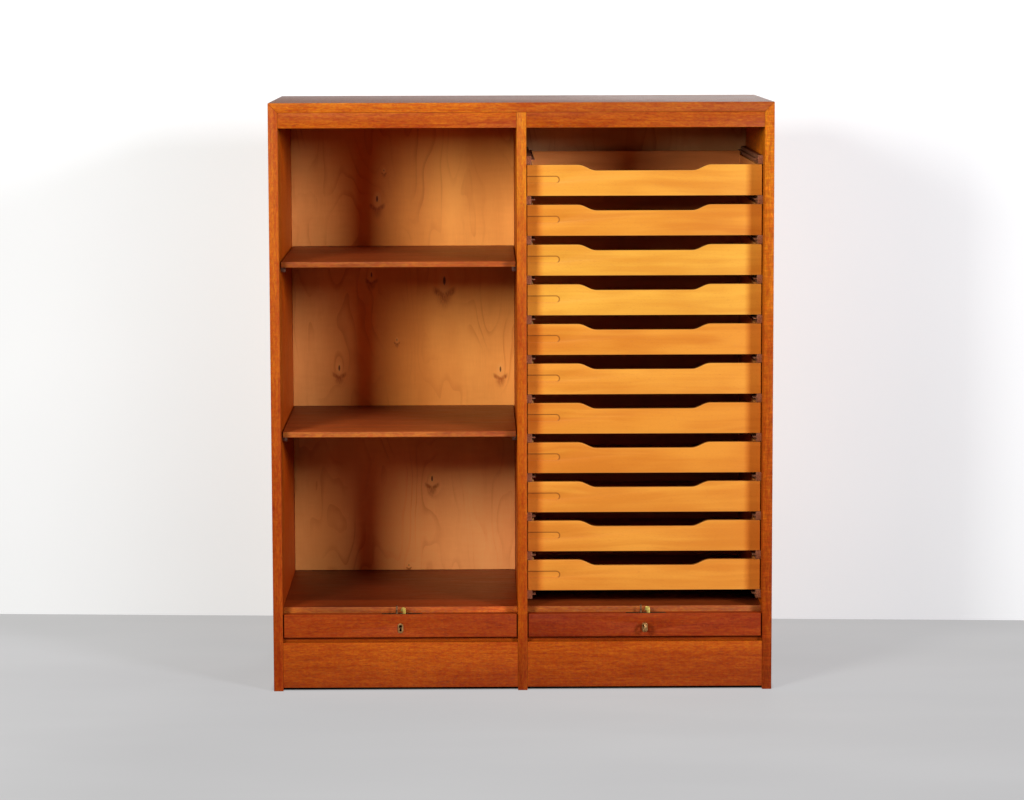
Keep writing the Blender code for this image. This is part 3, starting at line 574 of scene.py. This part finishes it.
# The case's finishes: light and dark, ripple, steps, factor of the front faces, and shine
case_woods = {
    "upright": dict(light=rgb(0.455, 0.107, 0.003), dark=rgb(0.315, 0.050, 0.002), ripple=0.07,
                    steps=(upright_foot_painted_shade, behind_rail)),
    "divider": dict(light=rgb(0.46, 0.110, 0.003), dark=rgb(0.32, 0.053, 0.002), ripple=0.07,
                    steps=(divider_foot_painted_shade, lowest_painted_shade, golden_top, behind_rail)),
    "rippled": dict(light=rgb(0.50, 0.123, 0.004), dark=rgb(0.33, 0.058, 0.002), ripple=0.22,
                    steps=(rippled_foot_painted_shade, lowest_painted_shade, golden_half, behind_rail)),
    "top": dict(light=rgb(0.52, 0.128, 0.004), dark=rgb(0.33, 0.052, 0.002), steps=(top_right_painted_shade,), shine=0.12),
    "polished": dict(light=rgb(0.22, 0.060, 0.010), dark=rgb(0.145, 0.033, 0.005), shine=0.19),
    "header": dict(light=rgb(0.43, 0.094, 0.0025), dark=rgb(0.27, 0.037, 0.001), steps=(header_right_painted_shade,)),
    "plinth": dict(light=rgb(0.44, 0.078, 0.004), dark=rgb(0.30, 0.037, 0.002), ripple=0.05,
                   steps=(plinth_painted_shade_and_light,)),
    "left_rail": dict(light=rgb(0.35, 0.052, 0.004), dark=rgb(0.24, 0.026, 0.002), ripple=0.05,
                      steps=(left_rail_painted_shade,)),
    "right_rail": dict(light=rgb(0.36, 0.052, 0.004), dark=rgb(0.24, 0.025, 0.002), ripple=0.05,
                       steps=(right_rail_painted_shade,)),
    "upper_shelf": dict(light=rgb(0.33, 0.063, 0.010), dark=rgb(0.19, 0.031, 0.006),
                        steps=(upper_shelf_painted_shadow,), front=rgb(1.10, 1.42, 1.0), shine=0.17),
    "lower_shelf": dict(light=rgb(0.31, 0.062, 0.010), dark=rgb(0.18, 0.030, 0.006),
                        steps=(lower_shelf_painted_light_and_shade, lower_shelf_painted_shadow), front=rgb(1.00, 1.26, 1.1), shine=0.17),
    "left_bottom": dict(light=rgb(0.22, 0.040, 0.005), dark=rgb(0.13, 0.020, 0.003),
                        steps=(front_strip, bottom_left_painted_shade, bottom_right_painted_light), front=rgb(1.70, 2.75, 2.5), shine=0.20),
    "right_bottom": dict(light=rgb(0.20, 0.040, 0.006), dark=rgb(0.12, 0.020, 0.003),
                         steps=(front_strip,), front=rgb(1.60, 2.20, 2.2), shine=0.25),
    "slat": dict(light=rgb(0.43, 0.080, 0.005), dark=rgb(0.28, 0.040, 0.003)),
}

# The trays' beech, the factors of its shades, and the trays whose boards are paler or warmer
beech_light = rgb(0.71, 0.298, 0.036)
beech_dark = rgb(0.60, 0.211, 0.022)
beech_shades = {
    "beech": (1.0, 1.0, 1.0),
    "pale_beech": (1.02, 1.17, 1.15),
    "warm_beech": (0.94, 0.86, 0.78),
}
box_light = rgb(0.68, 0.245, 0.060)
box_dark = rgb(0.55, 0.182, 0.040)
pale_trays = (3, 4)
warm_trays = (2, 5, 7, 8)

# Metals: polished colour, tarnished colour, roughness where polished, and how softly the two meet
metals = {
    "lining": (rgb(0.36, 0.19, 0.07), rgb(0.20, 0.09, 0.03), 0.30, 0.12),
    "brass": (rgb(0.46, 0.28, 0.11), rgb(0.26, 0.13, 0.05), 0.26, 0.12),
    "hook_brass": (rgb(0.48, 0.36, 0.07), rgb(0.26, 0.15, 0.04), 0.26, 0.12),
    "bright_brass": (rgb(0.62, 0.52, 0.12), rgb(0.34, 0.22, 0.06), 0.24, 0.12),
    "dark_steel": (rgb(0.15, 0.075, 0.035), rgb(0.045, 0.022, 0.012), 0.42, 0.16),
    "pin_steel": (rgb(0.26, 0.125, 0.085), rgb(0.10, 0.046, 0.034), 0.46, 0.16),
}


def sheet_corner(node):
    """The lower left corner of a plywood sheet, in its own grain coordinates."""
    low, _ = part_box(node)
    return (low.x, low.z, 0.0)


def make_finishes():
    """Every finish, by a plain name."""
    finishes = {name: case_wood(name, **values) for name, values in case_woods.items()}
    for name, factors in beech_shades.items():
        finishes[name] = beech(name, times(beech_light, factors), times(beech_dark, factors),
                               (tray_left_painted_shade, tray_right_painted_shade), True)
    finishes["beech_box"] = beech("beech_box", box_light, box_dark, (box_left_painted_light,), False)
    for side, knots, factors in (("left", left_knots, left_sheet_painted_light), ("right", right_knots, right_sheet_painted_light)):
        name = f"{side}_plywood"
        finishes[name] = plywood(name, knots, sheet_corner(f"{side}_inner_back"), factors)
    finishes["back_plywood"] = plywood("back_plywood", right_knots, outer_corner, left_sheet_painted_light)
    for name, values in metals.items():
        finishes[name] = metal(name, *values)
    finishes["runner"] = runner_wood()
    finishes["canvas"] = canvas()
    return finishes


def set_grain(mesh, along, offset, choose=None):
    """Store each corner's board coordinates; choose gives one face's grain direction from its normal."""
    values = np.empty((len(mesh.loops), 3), np.float32)
    for face in mesh.polygons:
        axes = grain_axes[choose(face.normal) if choose else along]
        for loop in face.loop_indices:
            point = mesh.vertices[mesh.loops[loop].vertex_index].co
            values[loop] = [point[axis] + shift for axis, shift in zip(axes, offset)]
    stored = mesh.attributes.new("grain", "FLOAT_VECTOR", "CORNER")
    stored.data.foreach_set("vector", values.ravel())


def set_spot(mesh, start):
    """Store each corner's place from a starting point, so that a finish knows where on the piece it is."""
    count = len(mesh.vertices)
    places = np.empty(count * 3, np.float32)
    mesh.vertices.foreach_get("co", places)
    places = places.reshape(count, 3) - np.array(start, np.float32)
    stored = mesh.attributes.new("spot", "FLOAT_VECTOR", "POINT")
    stored.data.foreach_set("vector", places.ravel())


def random_offset():
    """A place far from the other boards in the grain's noise."""
    return [picks.uniform(3, 40) for _ in range(3)]


def new_piece(name, data):
    """An object in the scene."""
    piece = bpy.data.objects.new(name, data)
    bpy.context.scene.collection.objects.link(piece)
    return piece


def soften(name, mesh, width):
    """An object from a mesh, with its flat faces whole and its sharp edges rounded."""
    shape = bmesh.new()
    shape.from_mesh(mesh)
    bmesh.ops.remove_doubles(shape, verts=shape.verts, dist=weld_distance)
    bmesh.ops.dissolve_limit(shape, angle_limit=flat_angle, verts=shape.verts, edges=shape.edges)
    made = bpy.data.meshes.new(name)
    shape.to_mesh(made)
    shape.free()
    piece = new_piece(name, made)
    made.shade_smooth()
    rounding = piece.modifiers.new("Rounding", "BEVEL")
    rounding.width = width
    rounding.segments = round_segments
    rounding.angle_limit = round_angle
    rounding.harden_normals = True
    graph = bpy.context.evaluated_depsgraph_get()
    piece.data = bpy.data.meshes.new_from_object(piece.evaluated_get(graph))
    piece.modifiers.clear()
    bpy.data.meshes.remove(made)
    return piece


def board(node, material, along, width=board_round, choose=None, offset=None):
    """A softened board with its grain and finish, in place of its CAD node."""
    piece = soften(f"{node}_finished", nodes[node].data, width)
    piece.data.materials.clear()
    piece.data.materials.append(material)
    set_spot(piece.data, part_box(node)[0] if node.startswith("tray") else case_start)
    set_grain(piece.data, along, offset or random_offset(), choose)
    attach(piece, body_of_node[node])
    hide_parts(node)
    return piece


def polish_top(piece, material):
    """A smoother finish on the faces that look up."""
    piece.data.materials.append(material)
    for face in piece.data.polygons:
        face.material_index = 1 if face.normal.z > square_on else 0


def make_case(finishes):
    """Every fixed board of the case, and the rails."""
    board("left_side", finishes["upright"], "Z")
    board("right_side", finishes["rippled"], "Z")
    board("centre_partition", finishes["divider"], "Z")
    polish_top(board("top_panel", finishes["top"], "X"), finishes["polished"])
    for side in ("left", "right"):
        board(f"{side}_header", finishes["header"], "X")
        board(f"{side}_plinth", finishes["plinth"], "X")
        board(f"{side}_bottom", finishes[f"{side}_bottom"], "X")
        board(f"{side}_inner_back", finishes[f"{side}_plywood"], "X", offset=(0, 0, 0))
    board("outer_back", finishes["back_plywood"], "X", offset=outer_offset)
    for shelf in ("upper_shelf", "lower_shelf"):
        board(shelf, finishes[shelf], "X")
    for side in ("left", "right"):
        board(f"{side}_runners", finishes["runner"], "Y", fitting_round)
        board(f"{side}_rail", finishes[f"{side}_rail"], "X")


def tray_grain(normal):
    """Grain along the sides of a tray box, and across it in its floor and back."""
    return "Y" if abs(normal.x) > square_on else "X"


def tray_shade(number):
    """The finish of one tray's front board."""
    if number in pale_trays:
        return "pale_beech"
    return "warm_beech" if number in warm_trays else "beech"


def make_trays(finishes):
    """Front boards and boxes of the trays."""
    for node in nodes:
        if node.startswith("tray_"):
            if node.endswith("box"):
                board(node, finishes["beech_box"], "X", tray_round, tray_grain)
            else:
                board(node, finishes[tray_shade(int(node.split("_")[1]))], "X", tray_round)


def make_fittings(finishes):
    """Locks, hooks, linings, strike plates, pins and the key."""
    for side in ("left", "right"):
        board(f"{side}_escutcheon", finishes["lining"], "X", small_round)
        board(f"{side}_strike", finishes["brass"], "X", plate_round)
        board(f"{side}_lock", finishes["dark_steel"], "X", plate_round)
    board("left_hook", finishes["hook_brass"], "X", fitting_round)
    board("right_hook", finishes["bright_brass"], "X", fitting_round)
    board("right_key", finishes["brass"], "X", fitting_round)
    for node in nodes:
        if node.endswith("_pin"):
            board(node, finishes["pin_steel"], "X", small_round)


# Slats
slat_pitch = 0.018
slat_gap = 0.0003
slat_round = 0.0022
slat_round_steps = 3
slat_thickness = 0.0065
slat_sharp_angle = math.radians(40)
rail_gap = 0.0005

# The curtain's way: down at the front, round a bend, level to the back, round a bend and up
curtain_low, curtain_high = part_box("left_curtain")
bend_radius = 0.060
bend_top = curtain_low.z + slat_thickness / 2 + bend_radius
front_run = curtain_low.y + slat_thickness / 2
rear_run = curtain_high.y - slat_thickness / 2
quarter = math.pi / 2 * bend_radius
level_run = rear_run - front_run - 2 * bend_radius
stored_start = 0.4 * quarter
stored_end = 2 * quarter + level_run + curtain_high.z - bend_top

# The heights behind the plinth between which the closing slats are squeezed while the bay is open
squeeze_bottom = 0.066
squeeze_top = plinth_top
rest_samples = 40001


def curtain_point(run, out):
    """Depth and height of a point this far along the curtain's way and this far out from its middle."""
    reach = bend_radius + out
    if run <= 0:
        return front_run - out, bend_top - run
    if run <= quarter:
        turn = run / bend_radius
        return front_run + bend_radius - reach * math.cos(turn), bend_top - reach * math.sin(turn)
    if run <= quarter + level_run:
        return front_run + bend_radius + run - quarter, bend_top - bend_radius - out
    if run <= 2 * quarter + level_run:
        turn = (run - quarter - level_run) / bend_radius
        return rear_run - bend_radius + reach * math.sin(turn), bend_top - reach * math.cos(turn)
    return rear_run + out, bend_top + run - 2 * quarter - level_run


def slat_outline():
    """One slat's section, along the curtain and outwards, with its outer corners rounded."""
    half = slat_pitch / 2 - slat_gap / 2
    top = slat_thickness / 2
    corner = []
    for step in range(slat_round_steps + 1):
        turn = math.pi / 2 * step / slat_round_steps
        corner.append((half - slat_round * (1 - math.cos(turn)), top - slat_round * (1 - math.sin(turn))))
    return corner + [(-along, out) for along, out in corner[::-1]] + [(-half, -top), (half, -top)]


def add_slat(shape, x_span, middle, outline):
    """One slat in a bmesh, with canvas on its inner side, the outline's last but one edge."""
    rings = []
    for x in x_span:
        points = [curtain_point(middle + along, out) for along, out in outline]
        rings.append([shape.verts.new((x, y, z)) for y, z in points])
    size = len(outline)
    for step in range(size):
        after = (step + 1) % size
        face = shape.faces.new((rings[0][step], rings[0][after], rings[1][after], rings[1][step]))
        face.material_index = 1 if step == size - 2 else 0
    shape.faces.new(rings[0][::-1])
    shape.faces.new(rings[1])


def slat_strip(name, x_span, start, end, finishes):
    """A strip of slats on their canvas, between two places on the curtain's way."""
    shape = bmesh.new()
    outline = slat_outline()
    for index in range(int((end - start) / slat_pitch + 0.01)):
        add_slat(shape, x_span, start + (index + 0.5) * slat_pitch, outline)
    bmesh.ops.recalc_face_normals(shape, faces=shape.faces)
    mesh = bpy.data.meshes.new(name)
    shape.to_mesh(mesh)
    shape.free()
    mesh.shade_smooth()
    mesh.set_sharp_from_angle(angle=slat_sharp_angle)
    set_grain(mesh, "X", random_offset())
    set_spot(mesh, case_start)
    mesh.materials.append(finishes["slat"])
    mesh.materials.append(finishes["canvas"])
    return new_piece(name, mesh)


def at_rest(closed):
    rest = np.linspace(0.0, case_top, rest_samples)
    share = np.clip((rest - squeeze_bottom) / (squeeze_top - squeeze_bottom), 0, 1)
    risen = rest + share * share * (3 - 2 * share) * rail_travel
    return np.interp(closed, risen, rest)


def make_curtain(side, finishes):
    """One tambour: the slats that close the bay, squeezed while it is open, and the store behind it."""
    low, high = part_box(f"{side}_curtain")
    x_span = (low.x, high.x)
    closed_bottom = rail_bottom + rail_travel
    piece = slat_strip(f"{side}_slats", x_span, bend_top - closed_bottom + rail_gap,
                       bend_top - squeeze_bottom, finishes)
    heights = at_rest(np.array([vert.co.z for vert in piece.data.vertices]))
    for vert, height in zip(piece.data.vertices, heights):
        vert.co.z = height
    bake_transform(piece)
    store = slat_strip(f"{side}_stored_slats", x_span, stored_start, stored_end, finishes)
    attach(store, "case")
    for each in (piece, store):
        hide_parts(f"{side}_curtain")


def make_camera():
    """The camera at the photograph's place."""
    data = bpy.data.cameras.new("camera")
    data.lens = camera_lens
    data.sensor_width = camera_sensor
    camera = new_piece("camera", data)
    turn = (Matrix.Rotation(camera_pan, 4, "Z") @ Matrix.Rotation(camera_tilt, 4, "X")
            @ Matrix.Rotation(camera_roll, 4, "Z"))
    camera.matrix_world = Matrix.Translation(camera_place) @ turn
    bpy.context.scene.camera = camera


def make_lamp(name, place, aim, power, colour, spread):
    """A rectangular soft lamp turned to a point."""
    data = bpy.data.lights.new(name, "AREA")
    data.shape = "RECTANGLE"
    data.size, data.size_y = lamp_size
    data.energy = power
    data.color = colour
    data.spread = spread
    lamp = new_piece(name, data)
    lamp.location = place
    lamp.rotation_euler = (Vector(aim) - Vector(place)).to_track_quat("-Z", "Y").to_euler()


# Each stage surface: tone for bounced light, tone that takes lamps and shadows, fixed tone, and how
# much brighter it gets towards the far left and the far right, as painted light
wall_tones = (rgb(0.40, 0.40, 0.40), rgb(0.50, 0.53, 0.53), 0.50, (0.40, 0.17))
floor_tones = (rgb(0.25, 0.25, 0.25), rgb(0.205, 0.212, 0.216), 0.42, (0.16, 0.0))
far_left = (-0.55, -1.20)
far_right = (0.85, 1.20)

# Where the fixed tone fades out under the cabinet, as painted shade: at its front, its back and its sides
under_front = (front_y + 0.004, front_y + 0.022)
under_back = (0.30, 0.24)
under_sides = (0.510, 0.485)


def backdrop(name, tones, paint_shade_under=False):
    """A stage surface's nodes and shader: part of its tone is fixed for the camera, and the rest is lit."""
    bounced, lit, fixed, painted_light_lifts = tones
    tree = material_tree(name)
    tree.nodes.remove(tree.shader)
    place = tree.coordinates("Object")
    x, y, _ = tree.split(place)
    # Painted light: the tone grows brighter towards the far left and the far right
    tone = tree.product(tree.ramp(tree.noise(place, (0.9, 2.6, 1.0), 3.0), 0.3, 0.7, 0.97, 1.03),
                        tree.ramp(x, *far_left, 1.0, 1.0 + painted_light_lifts[0]),
                        tree.ramp(x, *far_right, 1.0, 1.0 + painted_light_lifts[1]))
    # Painted shade: the fixed tone fades out under the cabinet
    if paint_shade_under:
        under = tree.product(tree.ramp(y, *under_front), tree.ramp(y, *under_back),
                             tree.ramp(tree.calc("ABSOLUTE", x), *under_sides))
        tone = tree.product(tone, tree.calc("SUBTRACT", 1.0, under))
    matte = tree.add("ShaderNodeBsdfDiffuse", {"Color": bounced})
    glow = tree.add("ShaderNodeEmission", {"Color": rgb(fixed, fixed, fixed), "Strength": tone})
    dimmed = tree.add("ShaderNodeBsdfDiffuse", {"Color": lit})
    shown = tree.add("ShaderNodeAddShader", {0: glow.outputs[0], 1: dimmed.outputs[0]})
    mixed = tree.add("ShaderNodeMixShader", {0: tree.seen(), 1: matte.outputs[0], 2: shown.outputs[0]})
    return tree, mixed.outputs[0]


def plane(name, corners, material):
    """A flat stage surface."""
    mesh = bpy.data.meshes.new(name)
    mesh.from_pydata(corners, [], [(0, 1, 2, 3)])
    mesh.materials.append(material)
    new_piece(name, mesh)


def make_floor():
    """The floor, with painted shade under the cabinet."""
    tree, shown = backdrop("floor", floor_tones, True)
    tree.show(shown)
    reach = stage_reach
    corners = [(-reach, -reach, 0), (reach, -reach, 0), (reach, reach, 0), (-reach, reach, 0)]
    plane("floor", corners, tree.owner)


def make_wall():
    """The wall behind the cabinet, clear from behind and to the lamp there."""
    tree, shown = backdrop("wall", wall_tones)
    path = tree.add("ShaderNodeLightPath", {}).outputs
    behind = tree.add("ShaderNodeNewGeometry", {}).outputs["Backfacing"]
    through = tree.calc("MAXIMUM", path["Is Shadow Ray"], behind)
    clear = tree.add("ShaderNodeBsdfTransparent", {})
    tree.show(tree.add("ShaderNodeMixShader", {0: through, 1: shown, 2: clear.outputs[0]}).outputs[0])
    slope = (wall_right[1] - wall_left[1]) / (wall_right[0] - wall_left[0])
    ends = [(x, wall_left[1] + slope * (x - wall_left[0])) for x in (-stage_reach, stage_reach)]
    lower = [(x, y, 0) for x, y in ends]
    upper = [(x, y, wall_height) for x, y in ends]
    plane("wall", lower + upper[::-1], tree.owner)


def make_surround():
    """A dim surround that the camera and reflections see as white."""
    world = bpy.data.worlds.new("surround")
    bpy.context.scene.world = world
    tree = Tree(world)
    ground = tree.nodes["Background"]
    tree.put(ground.inputs["Color"], plain)
    tree.put(ground.inputs["Strength"], tree.level(tree.seen(), 0.0, 1.0, ambient, 1.0))


def make_studio():
    """Floor, wall, two soft lamps in front, one behind for the back, and a dim surround."""
    make_floor()
    make_wall()
    for lamp in lamps:
        make_lamp(*lamp)
    make_surround()
    bpy.context.scene.view_settings.view_transform = "Standard"


def build():
    """The whole scene."""
    finishes = make_finishes()
    make_case(finishes)
    make_trays(finishes)
    make_fittings(finishes)
    for side in ("left", "right"):
        make_curtain(side, finishes)
    make_camera()
    make_studio()


build()
